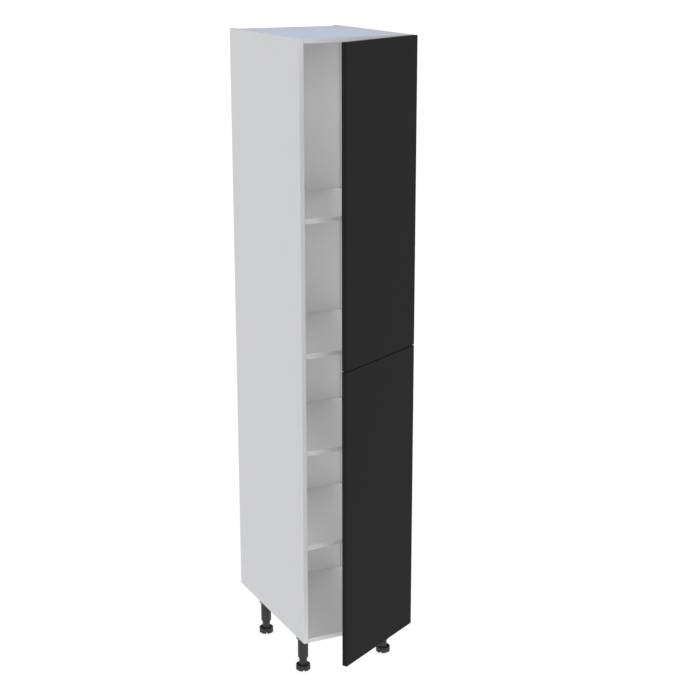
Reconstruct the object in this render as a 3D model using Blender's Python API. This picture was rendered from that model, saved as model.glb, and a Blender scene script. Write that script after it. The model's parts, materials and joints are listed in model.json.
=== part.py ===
"""Tall pantry cabinet with two right-hung doors, standing ajar on four screw-adjustable legs.

Metres, +Z up, the front towards -Y. The origin is on the floor, in the middle of the plan outline
that the carcass and the doors make together. Hinge sizes are given in plan, as (across, forward):
across from the right side's outer face, negative inwards, and forward from the carcass's front.
"""

from math import atan2, cos, pi, radians, sin

import bmesh
import bpy
from mathutils import Matrix, Vector

# Carcass
CARCASS_WIDTH = 0.400
CARCASS_DEPTH = 0.560
CARCASS_HEIGHT = 2.016
BOARD = 0.016
TOP_DEPTH = 0.5185
BACK_FACE = 0.503
BACK_BOARD = 0.003
GROOVE_DEPTH = 0.008
EDGE_ROUND = 0.0005
GAP = 0.0003

# Shelves, as the height of the upper face over the carcass's lowest face
FIXED_SHELF = 1.016
ADJUSTABLE_SHELVES = {"lower": 0.3493, "middle": 0.6827, "upper": 1.4560}
FIXED_SET_BACK = 0.006
ADJUSTABLE_SET_BACK = 0.012
SHELF_SIDE_PLAY = 0.0018

# Shelf pins and the rows of holes they stand in
PIN_RADIUS = 0.0022
PIN_HOLE_RADIUS = 0.0025
PIN_HOLE_DEPTH = 0.0105
PIN_PEG_RADIUS = 0.0025
PIN_PEG_LENGTH = 0.0085
PIN_COLLAR_RADIUS = 0.0037
PIN_COLLAR = 0.0012
HOLE_PITCH = 0.032
HOLES_EACH_WAY = 2
PIN_ROWS = (0.050, 0.440)

# Doors
DOOR_WIDTH = 0.397
DOOR_HEIGHT = 1.0065
DOOR_BOARD = 0.018
DOOR_REVEAL = 0.0015
DOOR_STAND_OFF = 0.002
DOOR_EDGE_ROUND = 0.001
DOOR_AJAR = radians(29.5)

# Hinges: arm pivots in plan, cup pins as (from the door's edge, into the door)
HINGE_HEIGHTS = {"lower": (0.103, 0.505, 0.905), "upper": (1.111, 1.513, 1.913)}
INNER_ARM_PIVOT = (-0.0365, 0.0095)
OUTER_ARM_PIVOT = (-0.0360, 0.0008)
INNER_CUP_PIN = (0.0110, 0.0065)
OUTER_CUP_PIN = (0.0094, 0.0020)
INNER_LINK_RATIO = -0.30
CUP_CENTRE = 0.0225
CUP_RADIUS = 0.0175
CUP_DEPTH = 0.0120
CUP_WALL = 0.0015
CUP_FLANGE_RADIUS = 0.0190
CUP_FLANGE = 0.0009
EYE_RADIUS = 0.0022
EYE_HOLE_RADIUS = 0.0016
LINK_PIN_RADIUS = 0.0012
LINK_THICKNESS = 0.0016
INNER_LINK_HALF_HEIGHT = 0.0026
OUTER_LINK_INSIDE = 0.0031
OUTER_LINK_OUTSIDE = 0.0043
CHEEK_INSIDE = 0.0047
CHEEK_OUTSIDE = 0.0058
CHEEK_HALF_WIDTH = 0.0019
INNER_PIN_REACH = 0.0116
OUTER_PIN_STUB = 0.0062
OUTER_PIN_REACH = 0.0098
CUP_EARS_LOW = (-0.0165, -0.0300)
CUP_EARS_HIGH = (-0.0025, 0.0300)
CUP_NOTCH_HALF_HEIGHT = 0.0056
CUP_NOTCH_DEPTH = 0.0045
CUP_NOTCH_LENGTH = 0.006

# Hinge arms and plates: rises from the side's inner face, depths from the carcass's front
PLATE_SET_BACK = 0.037
WING_HALF_DEPTH = 0.007
WING_HALF_HEIGHT = 0.026
WING_THICKNESS = 0.002
PLATE_DEPTHS = (0.0170, 0.0565)
PLATE_HALF_HEIGHT = 0.0075
PLATE_THICKNESS = 0.005
ARM_DEPTHS = (0.0080, 0.0600)
ARM_HALF_HEIGHT = 0.0062
ARM_RISES = (0.0045, 0.0140)
NECK_RISES = (0.0060, 0.0130)
NECK_DEPTHS = (0.0045, 0.0085, 0.0120, 0.0165)
CHEEK_HEEL_DEPTH = 0.0060

# Legs
LEG_HEIGHT = 0.150
LEG_INSET = 0.0435
LEG_ROWS = (0.105, 0.430)
LEG_FLANGE = 0.064
LEG_FLANGE_THICKNESS = 0.005
LEG_COLLAR_RADIUS = 0.0232
LEG_COLLAR_DROP = 0.0262
LEG_TUBE_RADIUS = 0.0182
LEG_TUBE_BORE = 0.0157
LEG_TUBE_FOOT_GAP = 0.045
LEG_TUBE_CHAMFER = 0.0020
LEG_TUBE_CHAMFER_HEIGHT = 0.0025
LEG_TUBE_ROOF = 0.007
LEG_SCREW_RADIUS = 0.0148
LEG_SCREW_TOP = 0.100
LEG_FOOT_RADIUS = 0.0250
LEG_FOOT_HEIGHT = 0.0195
LEG_FOOT_ROUND = 0.0015
LEG_RIM = 0.0035
LEG_RING_DEPTH = 0.009

ROUND_SIDES = 20
SMALL_SIDES = 8
EYE_SIDES = 12
SMOOTH_ANGLE = radians(35)


def turned_plan(offset, angle):
    """A plan offset (across, forward) turned by a door angle, positive as the door opens."""
    across, forward = offset
    return (
        across * cos(angle) + forward * sin(angle),
        forward * cos(angle) - across * sin(angle),
    )


def plan_sum(first, second):
    return (first[0] + second[0], first[1] + second[1])


def cup_pin_closed(pin):
    """Plan place of a cup pin while the door is shut."""
    from_edge, into_door = pin
    return (-DOOR_REVEAL - from_edge, DOOR_STAND_OFF + into_door)


def door_pin_at(angle):
    """Plan place of the inner cup pin, carried by the inner links, at a door angle."""
    closed = cup_pin_closed(INNER_CUP_PIN)
    link = (closed[0] - INNER_ARM_PIVOT[0], closed[1] - INNER_ARM_PIVOT[1])
    return plan_sum(INNER_ARM_PIVOT, turned_plan(link, INNER_LINK_RATIO * angle))


def on_door_at(angle, from_edge, into_door):
    """Plan place of a point of the door, at a door angle."""
    offset = (INNER_CUP_PIN[0] - from_edge, into_door - INNER_CUP_PIN[1])
    return plan_sum(door_pin_at(angle), turned_plan(offset, angle))


DOOR_REACH = on_door_at(DOOR_AJAR, DOOR_WIDTH, DOOR_BOARD)[1]
FRONT_Y = (DOOR_REACH - CARCASS_DEPTH) / 2
HALF_WIDTH = CARCASS_WIDTH / 2
INNER_HALF_WIDTH = HALF_WIDTH - BOARD
CARCASS_TOP = LEG_HEIGHT + CARCASS_HEIGHT


def plan_to_world(plan):
    return (HALF_WIDTH + plan[0], FRONT_Y - plan[1])


# Building blocks


def clear_scene():
    for obj in list(bpy.data.objects):
        bpy.data.objects.remove(obj, do_unlink=True)


def material(name, colour, roughness, metallic=0.0):
    made = bpy.data.materials.new(name)
    made.use_nodes = True
    shader = made.node_tree.nodes["Principled BSDF"]
    shader.inputs["Base Color"].default_value = (*colour, 1.0)
    shader.inputs["Roughness"].default_value = roughness
    shader.inputs["Metallic"].default_value = metallic
    made.diffuse_color = (*colour, 1.0)
    return made


def object_from(name, bm):
    bmesh.ops.recalc_face_normals(bm, faces=bm.faces)
    mesh = bpy.data.meshes.new(name)
    bm.to_mesh(mesh)
    bm.free()
    obj = bpy.data.objects.new(name, mesh)
    bpy.context.scene.collection.objects.link(obj)
    return obj


def box(name, low, high, edge_round=0.0):
    bm = bmesh.new()
    bmesh.ops.create_cube(bm, size=1.0)
    size = Vector(high) - Vector(low)
    middle = (Vector(high) + Vector(low)) / 2
    stretch = Matrix.Translation(middle) @ Matrix.Diagonal((*size, 1.0))
    bmesh.ops.transform(bm, matrix=stretch, verts=bm.verts)
    if edge_round:
        bmesh.ops.bevel(bm, geom=bm.edges[:], offset=edge_round, segments=1, affect="EDGES")
    return object_from(name, bm)


def prism(name, outline, low, high):
    """A plan outline of (x, y) points, pulled up from one height to another."""
    bm = bmesh.new()
    face = bm.faces.new([bm.verts.new((x, y, low)) for x, y in outline])
    pulled = bmesh.ops.extrude_face_region(bm, geom=[face])
    raised = [item for item in pulled["geom"] if isinstance(item, bmesh.types.BMVert)]
    bmesh.ops.translate(bm, verts=raised, vec=(0.0, 0.0, high - low))
    return object_from(name, bm)


def turned(name, profile, sides=ROUND_SIDES):
    """A turned solid about Z, from (radius, height) points that start and end on the axis."""
    bm = bmesh.new()
    points = [bm.verts.new((radius, 0.0, height)) for radius, height in profile]
    edges = [bm.edges.new(pair) for pair in zip(points, points[1:])]
    bmesh.ops.spin(
        bm, geom=points + edges, cent=(0, 0, 0), axis=(0, 0, 1), dvec=(0, 0, 0),
        angle=2 * pi, steps=sides, use_merge=False, use_duplicate=False,
    )
    bmesh.ops.remove_doubles(bm, verts=bm.verts, dist=1e-6)
    return object_from(name, bm)


def rods(name, places, radius, low, high, sides=SMALL_SIDES, along_x=False):
    """Round rods as one object, each at one of the places, from low to high along Z or X."""
    bm = bmesh.new()
    turn = Matrix.Rotation(pi / 2, 4, "Y") if along_x else Matrix.Identity(4)
    for place in places:
        middle = (low + high) / 2
        shift = Vector((middle, 0, 0)) if along_x else Vector((0, 0, middle))
        bmesh.ops.create_cone(
            bm, cap_ends=True, segments=sides, radius1=radius, radius2=radius,
            depth=high - low, matrix=Matrix.Translation(Vector(place) + shift) @ turn,
        )
    return object_from(name, bm)


def combine(base, operation, *others):
    """Boolean of the base with each other object in turn; the others are used up."""
    for other in others:
        step = base.modifiers.new("combine", "BOOLEAN")
        step.operation = operation
        step.solver = "EXACT"
        step.object = other
        graph = bpy.context.evaluated_depsgraph_get()
        result = bpy.data.meshes.new_from_object(base.evaluated_get(graph))
        base.modifiers.remove(step)
        base.data = result
        bpy.data.objects.remove(other, do_unlink=True)
    return base


def capsule(start, end, radius, steps=5):
    """Outline round two plan points, with a half circle at each end."""
    heading = atan2(end[1] - start[1], end[0] - start[0])
    outline = []
    for centre, facing in ((end, heading), (start, heading + pi)):
        for step in range(steps + 1):
            angle = facing - pi / 2 + pi * step / steps
            outline.append((centre[0] + radius * cos(angle), centre[1] + radius * sin(angle)))
    return outline


def finish(obj, name, skin, smooth=False):
    obj.name = name
    obj.data.materials.clear()
    obj.data.materials.append(skin)
    if smooth:
        obj.data.shade_smooth()
        obj.data.set_sharp_from_angle(angle=SMOOTH_ANGLE)
    return obj


def placed_copy(template, name, skin, location, parent=None):
    copy = bpy.data.objects.new(name, template.data)
    bpy.context.scene.collection.objects.link(copy)
    copy.parent = parent
    copy.location = location
    return finish(copy, name, skin, smooth=True)


def axis_empty(name, plan, height, angle=0.0):
    empty = bpy.data.objects.new(name, None)
    empty.empty_display_size = 0.05
    empty.location = (*plan_to_world(plan), height)
    empty.rotation_euler = (0.0, 0.0, angle)
    bpy.context.scene.collection.objects.link(empty)
    return empty


# Carcass


def shelf_holes(side):
    """Cutter for the rows of shelf pin holes in one side; side is -1 left or 1 right."""
    places = []
    for shelf_top in ADJUSTABLE_SHELVES.values():
        for row in PIN_ROWS:
            for step in range(-HOLES_EACH_WAY, HOLES_EACH_WAY + 1):
                height = pin_height(shelf_top) + step * HOLE_PITCH
                places.append((side * INNER_HALF_WIDTH, FRONT_Y + row, height))
    return rods("holes", places, PIN_HOLE_RADIUS, -PIN_HOLE_DEPTH, PIN_HOLE_DEPTH, along_x=True)


def pin_height(shelf_top):
    return LEG_HEIGHT + shelf_top - BOARD - GAP - PIN_PEG_RADIUS


def side_panel(name, side, skin):
    faces = sorted((side * INNER_HALF_WIDTH, side * HALF_WIDTH))
    panel = box(
        name,
        (faces[0], FRONT_Y, LEG_HEIGHT),
        (faces[1], FRONT_Y + CARCASS_DEPTH, CARCASS_TOP),
        EDGE_ROUND,
    )
    reach = sorted((side * (INNER_HALF_WIDTH - BOARD), side * (INNER_HALF_WIDTH + GROOVE_DEPTH)))
    groove = box(
        "groove",
        (reach[0], FRONT_Y + BACK_FACE - GAP, LEG_HEIGHT - BOARD),
        (reach[1], FRONT_Y + BACK_FACE + BACK_BOARD + GAP, CARCASS_TOP + BOARD),
    )
    return finish(combine(panel, "DIFFERENCE", groove, shelf_holes(side)), name, skin)


def end_panel(name, low, skin, inner_face):
    """Top or bottom board between the sides, grooved for the back on its inner face."""
    half = INNER_HALF_WIDTH - GAP
    panel = box(name, (-half, FRONT_Y, low), (half, FRONT_Y + TOP_DEPTH, low + BOARD), EDGE_ROUND)
    groove = box(
        "groove",
        (-HALF_WIDTH, FRONT_Y + BACK_FACE - GAP, inner_face - GROOVE_DEPTH),
        (HALF_WIDTH, FRONT_Y + BACK_FACE + BACK_BOARD + GAP, inner_face + GROOVE_DEPTH),
    )
    return finish(combine(panel, "DIFFERENCE", groove), name, skin)


def back_panel(skin):
    reach = INNER_HALF_WIDTH + GROOVE_DEPTH - GAP
    low = LEG_HEIGHT + BOARD - GROOVE_DEPTH + GAP
    high = CARCASS_TOP - BOARD + GROOVE_DEPTH - GAP
    front = FRONT_Y + BACK_FACE
    panel = box("back", (-reach, front, low), (reach, front + BACK_BOARD, high))
    return finish(panel, "back_panel", skin)


def shelf(name, top, set_back, side_play, skin):
    half = INNER_HALF_WIDTH - side_play
    low = (-half, FRONT_Y + set_back, LEG_HEIGHT + top - BOARD)
    high = (half, FRONT_Y + BACK_FACE - GAP, LEG_HEIGHT + top)
    return finish(box(name, low, high, EDGE_ROUND), name, skin)


def shelf_pins(skin):
    """Four pins under each adjustable shelf: a stem in its hole, a collar and a peg."""
    stem = -PIN_HOLE_DEPTH + GAP
    profile = (
        (0.0, stem), (PIN_RADIUS, stem), (PIN_RADIUS, GAP), (PIN_COLLAR_RADIUS, GAP),
        (PIN_COLLAR_RADIUS, GAP + PIN_COLLAR), (PIN_PEG_RADIUS, GAP + PIN_COLLAR),
        (PIN_PEG_RADIUS, PIN_PEG_LENGTH), (0.0, PIN_PEG_LENGTH),
    )
    template = turned("pin", profile, SMALL_SIDES)
    for shelf_name, shelf_top in ADJUSTABLE_SHELVES.items():
        for side_name, side in (("left", -1), ("right", 1)):
            for row_name, row in zip(("front", "rear"), PIN_ROWS):
                name = f"shelf_pin_{shelf_name}_{side_name}_{row_name}"
                place = (side * INNER_HALF_WIDTH, FRONT_Y + row, pin_height(shelf_top))
                pin = placed_copy(template, name, skin, place)
                pin.rotation_euler = (0.0, -side * pi / 2, 0.0)
    bpy.data.objects.remove(template, do_unlink=True)


def carcass(board_skin, back_skin, pin_skin):
    side_panel("left_side_panel", -1, board_skin)
    side_panel("right_side_panel", 1, board_skin)
    end_panel("top_panel", CARCASS_TOP - BOARD, board_skin, CARCASS_TOP - BOARD)
    end_panel("bottom_panel", LEG_HEIGHT, board_skin, LEG_HEIGHT + BOARD)
    back_panel(back_skin)
    shelf("fixed_shelf", FIXED_SHELF, FIXED_SET_BACK, GAP, board_skin)
    for name, top in ADJUSTABLE_SHELVES.items():
        shelf(f"{name}_adjustable_shelf", top, ADJUSTABLE_SET_BACK, SHELF_SIDE_PLAY, board_skin)
    shelf_pins(pin_skin)


# Legs


def leg_socket():
    """Square flange screwed under the cabinet, with the collar that the tube is pushed into."""
    top = LEG_HEIGHT - GAP
    under = top - LEG_FLANGE_THICKNESS
    half = LEG_FLANGE / 2
    flange = box("flange", (-half, -half, under), (half, half, top), 2 * EDGE_ROUND)
    low = under - LEG_COLLAR_DROP
    centre = [(0.0, 0.0, 0.0)]
    collar = rods("collar", centre, LEG_COLLAR_RADIUS, low, (under + top) / 2, ROUND_SIDES)
    bore = rods("bore", centre, LEG_TUBE_RADIUS + GAP, low - GAP, under, ROUND_SIDES)
    return combine(combine(flange, "UNION", collar), "DIFFERENCE", bore)


def leg_tube():
    """Tube open at its lower end for the screw of the foot."""
    top = LEG_HEIGHT - LEG_FLANGE_THICKNESS - 2 * GAP
    low = LEG_TUBE_FOOT_GAP
    return turned(
        "tube",
        (
            (0.0, top),
            (LEG_TUBE_RADIUS, top),
            (LEG_TUBE_RADIUS, low + LEG_TUBE_CHAMFER_HEIGHT),
            (LEG_TUBE_RADIUS - LEG_TUBE_CHAMFER, low),
            (LEG_TUBE_BORE, low),
            (LEG_TUBE_BORE, top - LEG_TUBE_ROOF),
            (0.0, top - LEG_TUBE_ROOF),
        ),
    )


def leg_foot():
    """Round foot with its screw; a deep ring is sunk in its upper face."""
    ring_low = LEG_FOOT_HEIGHT - LEG_RING_DEPTH
    return turned(
        "foot",
        (
            (0.0, LEG_SCREW_TOP),
            (LEG_SCREW_RADIUS, LEG_SCREW_TOP),
            (LEG_SCREW_RADIUS, ring_low),
            (LEG_FOOT_RADIUS - LEG_RIM, ring_low),
            (LEG_FOOT_RADIUS - LEG_RIM, LEG_FOOT_HEIGHT),
            (LEG_FOOT_RADIUS - LEG_FOOT_ROUND, LEG_FOOT_HEIGHT),
            (LEG_FOOT_RADIUS, LEG_FOOT_HEIGHT - LEG_FOOT_ROUND),
            (LEG_FOOT_RADIUS, LEG_FOOT_ROUND),
            (LEG_FOOT_RADIUS - LEG_FOOT_ROUND, 0.0),
            (0.0, 0.0),
        ),
    )


def legs(skin):
    templates = {"socket": leg_socket(), "tube": leg_tube(), "foot": leg_foot()}
    for row_name, row in zip(("front", "rear"), LEG_ROWS):
        for side_name, side in (("left", -1), ("right", 1)):
            place = (side * (HALF_WIDTH - LEG_INSET), FRONT_Y + row, 0.0)
            for piece, template in templates.items():
                placed_copy(template, f"{row_name}_{side_name}_leg_{piece}", skin, place)
    for template in templates.values():
        bpy.data.objects.remove(template, do_unlink=True)


# Doors and hinges. A door's pieces are drawn as on a shut door, from its inner hinge pin.


def from_door_pin(from_edge, into_door):
    return (INNER_CUP_PIN[0] - from_edge, INNER_CUP_PIN[1] - into_door)


def door(name, low, height_of_axis, hinge_heights, axis, skin):
    hinge_edge, inner_face = from_door_pin(0.0, 0.0)
    free_edge, outer_face = from_door_pin(DOOR_WIDTH, DOOR_BOARD)
    bottom = LEG_HEIGHT + low - height_of_axis
    slab = box(
        name,
        (free_edge, outer_face, bottom),
        (hinge_edge, inner_face, bottom + DOOR_HEIGHT),
        DOOR_EDGE_ROUND,
    )
    cup_across = from_door_pin(CUP_CENTRE, 0.0)[0]
    bm = bmesh.new()
    lay_down = Matrix.Rotation(pi / 2, 4, "X")
    for height in hinge_heights:
        place = (cup_across, inner_face, LEG_HEIGHT + height - height_of_axis)
        bmesh.ops.create_cone(
            bm, cap_ends=True, segments=ROUND_SIDES, radius1=CUP_RADIUS + GAP, radius2=CUP_RADIUS + GAP,
            depth=2 * (CUP_DEPTH + 2 * GAP), matrix=Matrix.Translation(place) @ lay_down,
        )
    slab = combine(slab, "DIFFERENCE", object_from("bores", bm))
    slab.parent = axis
    return finish(slab, name, skin)


def hinge_cup():
    """Cup, flange with screw ears, near-side notch for the links, and the link pins.

    The cup is turned about Z with its mouth up, then laid down to face into the cabinet.
    """
    inner = CUP_RADIUS - CUP_WALL
    flange_face = GAP + CUP_FLANGE
    cup = turned(
        "cup",
        (
            (0.0, -CUP_DEPTH),
            (CUP_RADIUS, -CUP_DEPTH),
            (CUP_RADIUS, GAP),
            (CUP_FLANGE_RADIUS, GAP),
            (CUP_FLANGE_RADIUS, flange_face),
            (inner, flange_face),
            (inner, -CUP_DEPTH + CUP_WALL),
            (0.0, -CUP_DEPTH + CUP_WALL),
        ),
    )
    ears = box("ears", (*CUP_EARS_LOW, GAP), (*CUP_EARS_HIGH, flange_face))
    mouth = rods("mouth", [(0.0, 0.0, 0.0)], inner, -CUP_WALL, 2 * CUP_WALL, ROUND_SIDES)
    notch = box(
        "notch",
        (CUP_RADIUS - CUP_NOTCH_LENGTH, -CUP_NOTCH_HALF_HEIGHT, -CUP_NOTCH_DEPTH),
        (CUP_FLANGE_RADIUS + CUP_WALL, CUP_NOTCH_HALF_HEIGHT, 2 * flange_face),
    )
    cup = combine(cup, "UNION", combine(ears, "DIFFERENCE", mouth))
    cup = combine(cup, "DIFFERENCE", notch)
    cup.data.transform(Matrix.Rotation(-pi / 2, 4, "X"))
    cup.data.transform(Matrix.Translation((*from_door_pin(CUP_CENTRE, 0.0), 0.0)))
    main_pin = rods("pin", [(0.0, 0.0, 0.0)], LINK_PIN_RADIUS, -INNER_PIN_REACH, INNER_PIN_REACH)
    cup = combine(cup, "UNION", main_pin)
    stub_place = (*from_door_pin(*OUTER_CUP_PIN), 0.0)
    for low, high in mirrored_heights(OUTER_PIN_STUB, OUTER_PIN_REACH):
        cup = combine(cup, "UNION", rods("stub", [stub_place], LINK_PIN_RADIUS, low, high))
    return cup


def mirrored_heights(inner, outer):
    """Height spans of a pair of pieces, one above and one below the middle."""
    return ((-outer, -inner), (inner, outer))


def hinge_arm():
    """Mounting plate and arm on the side panel, with the two link pins between its cheeks.

    Drawn in plan, with x across and y = -forward, from the side's outer face and carcass front.
    """
    face = -BOARD - GAP
    wings = box(
        "wings",
        (face - WING_THICKNESS, PLATE_SET_BACK - WING_HALF_DEPTH, -WING_HALF_HEIGHT),
        (face, PLATE_SET_BACK + WING_HALF_DEPTH, WING_HALF_HEIGHT),
    )
    plate = box(
        "plate",
        (face - PLATE_THICKNESS, PLATE_DEPTHS[0], -PLATE_HALF_HEIGHT),
        (face, PLATE_DEPTHS[1], PLATE_HALF_HEIGHT),
    )
    arm = box(
        "arm",
        (face - ARM_RISES[1], ARM_DEPTHS[0], -ARM_HALF_HEIGHT),
        (face - ARM_RISES[0], ARM_DEPTHS[1], ARM_HALF_HEIGHT),
    )
    tip_left = INNER_ARM_PIVOT[0] - CHEEK_HALF_WIDTH
    tip_right = INNER_ARM_PIVOT[0] + CHEEK_HALF_WIDTH
    neck_right, neck_left = face - NECK_RISES[0], face - NECK_RISES[1]
    tip_depth, shoulder_depth, waist_depth, root_depth = NECK_DEPTHS
    neck_outline = [
        (neck_right, waist_depth),
        (neck_right, shoulder_depth),
        (tip_right, tip_depth),
        (tip_left, tip_depth),
        (tip_left, shoulder_depth),
        (neck_left, root_depth),
        (neck_right, root_depth),
    ]
    neck = prism("neck", neck_outline, -CHEEK_OUTSIDE, CHEEK_OUTSIDE)
    joined = combine(wings, "UNION", plate, arm, neck)
    tip = (INNER_ARM_PIVOT[0], -INNER_ARM_PIVOT[1])
    heel = (INNER_ARM_PIVOT[0], CHEEK_HEEL_DEPTH)
    for low, high in mirrored_heights(CHEEK_INSIDE, CHEEK_OUTSIDE):
        cheek = prism("cheek", capsule(heel, tip, CHEEK_HALF_WIDTH), low, high)
        joined = combine(joined, "UNION", cheek)
    for across, forward in (INNER_ARM_PIVOT, OUTER_ARM_PIVOT):
        reach = (CHEEK_INSIDE + CHEEK_OUTSIDE) / 2
        pin = rods("pin", [(across, -forward, 0.0)], LINK_PIN_RADIUS, -reach, reach)
        joined = combine(joined, "UNION", pin)
    return joined


def link_vector(arm_pivot, cup_pin):
    """World offset of a link's cup end from its arm pivot, with the door ajar."""
    end = plan_to_world(on_door_at(DOOR_AJAR, *cup_pin))
    start = plan_to_world(arm_pivot)
    return (end[0] - start[0], end[1] - start[1])


def eye(place, half_height):
    return rods("eye", [place], EYE_RADIUS, -half_height, half_height, EYE_SIDES)


def eye_hole(place):
    return rods("hole", [place], EYE_HOLE_RADIUS, -CHEEK_OUTSIDE, CHEEK_OUTSIDE, EYE_SIDES)


def hinge_inner_link():
    """Plate link with an eye round each of its two pins, drawn from its arm pivot."""
    end = link_vector(INNER_ARM_PIVOT, INNER_CUP_PIN)
    ends = ((0.0, 0.0, 0.0), (*end, 0.0))
    outline = capsule((0.0, 0.0), end, LINK_THICKNESS / 2)
    link = prism("link", outline, -INNER_LINK_HALF_HEIGHT, INNER_LINK_HALF_HEIGHT)
    link = combine(link, "UNION", *[eye(place, INNER_LINK_HALF_HEIGHT) for place in ends])
    return combine(link, "DIFFERENCE", *[eye_hole(place) for place in ends])


def hinge_outer_link():
    """Two side plates that pass the inner link, joined by the eye on their arm pivot.

    Their cup ends run free between the stubs of the outer cup pin.
    """
    outline = capsule((0.0, 0.0), link_vector(OUTER_ARM_PIVOT, OUTER_CUP_PIN), LINK_THICKNESS / 2)
    link = eye((0.0, 0.0, 0.0), OUTER_LINK_OUTSIDE)
    for low, high in mirrored_heights(OUTER_LINK_INSIDE, OUTER_LINK_OUTSIDE):
        link = combine(link, "UNION", prism("plate", outline, low, high))
    return combine(link, "DIFFERENCE", eye_hole((0.0, 0.0, 0.0)))


def doors(door_skin, hinge_skin, link_skin):
    arm = hinge_arm()
    cup = hinge_cup()
    inner = hinge_inner_link()
    outer = hinge_outer_link()
    door_lows = {
        "lower": 0.0,
        "upper": CARCASS_HEIGHT - DOOR_HEIGHT,
    }
    for name, heights in HINGE_HEIGHTS.items():
        middle = LEG_HEIGHT + heights[1]
        door_axis = axis_empty(f"{name}_door_axis", door_pin_at(DOOR_AJAR), middle, DOOR_AJAR)
        inner_axis = axis_empty(f"{name}_inner_links_axis", INNER_ARM_PIVOT, middle)
        outer_axis = axis_empty(f"{name}_outer_links_axis", OUTER_ARM_PIVOT, middle)
        door(f"{name}_door", door_lows[name], middle, heights, door_axis, door_skin)
        for number, height in enumerate(heights, 1):
            at = LEG_HEIGHT + height
            up = (0.0, 0.0, at - middle)
            placed_copy(arm, f"{name}_hinge_arm_{number}", hinge_skin, (HALF_WIDTH, FRONT_Y, at))
            placed_copy(cup, f"{name}_hinge_cup_{number}", hinge_skin, up, door_axis)
            placed_copy(inner, f"{name}_inner_link_{number}", link_skin, up, inner_axis)
            placed_copy(outer, f"{name}_outer_link_{number}", link_skin, up, outer_axis)
    for template in (arm, cup, inner, outer):
        bpy.data.objects.remove(template, do_unlink=True)


def build():
    clear_scene()
    board_skin = material("light_melamine", (0.64, 0.65, 0.66), 0.42)
    back_skin = material("back_board", (0.62, 0.62, 0.62), 0.50)
    door_skin = material("dark_matt_lacquer", (0.026, 0.026, 0.027), 0.48)
    hinge_skin = material("nickel_plated_steel", (0.62, 0.61, 0.59), 0.28, 1.0)
    link_skin = material("zinc_plated_steel", (0.50, 0.50, 0.50), 0.32, 1.0)
    leg_skin = material("black_plastic", (0.035, 0.035, 0.037), 0.45)
    carcass(board_skin, back_skin, hinge_skin)
    legs(leg_skin)
    doors(door_skin, hinge_skin, link_skin)


build()
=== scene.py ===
"""Looks of the pantry cabinet: every piece as a fine mesh with its own procedural material.

Metres, in the CAD frame: +Z up, the cabinet's front towards -Y, the hinges on its right (+X).
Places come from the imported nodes' boxes and from the joints' axes.
"""

import json
from math import cos, pi, radians, sin

import bmesh
import bpy
from mathutils import Matrix, Vector


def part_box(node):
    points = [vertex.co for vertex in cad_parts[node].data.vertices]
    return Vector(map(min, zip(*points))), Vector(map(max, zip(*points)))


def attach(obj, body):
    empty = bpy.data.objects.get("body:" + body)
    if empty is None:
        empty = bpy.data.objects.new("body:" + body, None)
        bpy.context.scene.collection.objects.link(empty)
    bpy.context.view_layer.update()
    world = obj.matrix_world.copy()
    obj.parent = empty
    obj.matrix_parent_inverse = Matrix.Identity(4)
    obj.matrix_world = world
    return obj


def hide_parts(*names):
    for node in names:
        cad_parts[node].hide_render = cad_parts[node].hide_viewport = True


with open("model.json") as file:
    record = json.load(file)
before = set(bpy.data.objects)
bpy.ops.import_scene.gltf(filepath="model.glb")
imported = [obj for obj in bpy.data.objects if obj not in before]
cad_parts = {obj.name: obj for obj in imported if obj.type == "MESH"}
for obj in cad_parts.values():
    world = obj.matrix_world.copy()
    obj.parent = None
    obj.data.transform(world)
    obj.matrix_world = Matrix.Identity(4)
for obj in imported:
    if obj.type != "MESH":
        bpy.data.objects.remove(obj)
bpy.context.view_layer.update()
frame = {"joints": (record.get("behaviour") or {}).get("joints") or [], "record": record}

# Fits and edges; cutters run past what they cut, and joined shapes run into each other
GAP = 0.0003
CUT_PAST = 0.002
OVERLAP = 0.001
EDGE_ROUND = 0.0005
EDGE_STEPS = 3
RIM_STEPS = 2
SHARP_ANGLE = radians(40)

# Sides of round shapes, from large to small
WIDE_SIDES = 64
ROUND_SIDES = 48
SMALL_SIDES = 32
HOLE_SIDES = 24
ROD_SIDES = 16

# Boards
HOLE_RADIUS = 0.0025
HOLE_PITCH = 0.032
HOLES_EACH_WAY = 2
CAM_RADIUS = 0.0075
CAM_THICKNESS = 0.0008
CAM_SUNK = 0.0002
CAM_EDGE_ROUND = 0.0003
CAM_RING = (0.0054, 0.0062)
CAM_RING_DEPTH = 0.0002
CAM_SLOT = (0.0034, 0.0005, 0.0011)  # reach, depth, width
CAM_FROM_SIDE = 0.050
CAM_ROWS = (0.037, 0.453)

# Screw heads as (radius, height), and their shape as shares of these two
BACK_SCREW = (0.0040, 0.00045)
CUP_SCREW = (0.0034, 0.0005)
WING_SCREW = (0.0040, 0.0014)
ARM_SCREW = (0.0030, 0.0013)
LEG_SCREW = (0.0042, 0.0018)
HEAD_SHOULDER = (0.96, 0.55)
HEAD_CROWN = 0.6
HEAD_EDGE_ROUND = 0.3
HEAD_SLOT = (0.55, 0.7, 0.26)  # reach, depth, width
BACK_SCREW_PLACES = (-0.7, 0.0, 0.7)  # as shares of the inside's half width

# Shelf pins
PIN_STEM_RADIUS = 0.0022
PIN_COLLAR_RADIUS = 0.0037
PIN_COLLAR_THICKNESS = 0.0012
PIN_PEG_RADIUS = 0.0025
PIN_EDGE_ROUND = 0.0005

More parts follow.
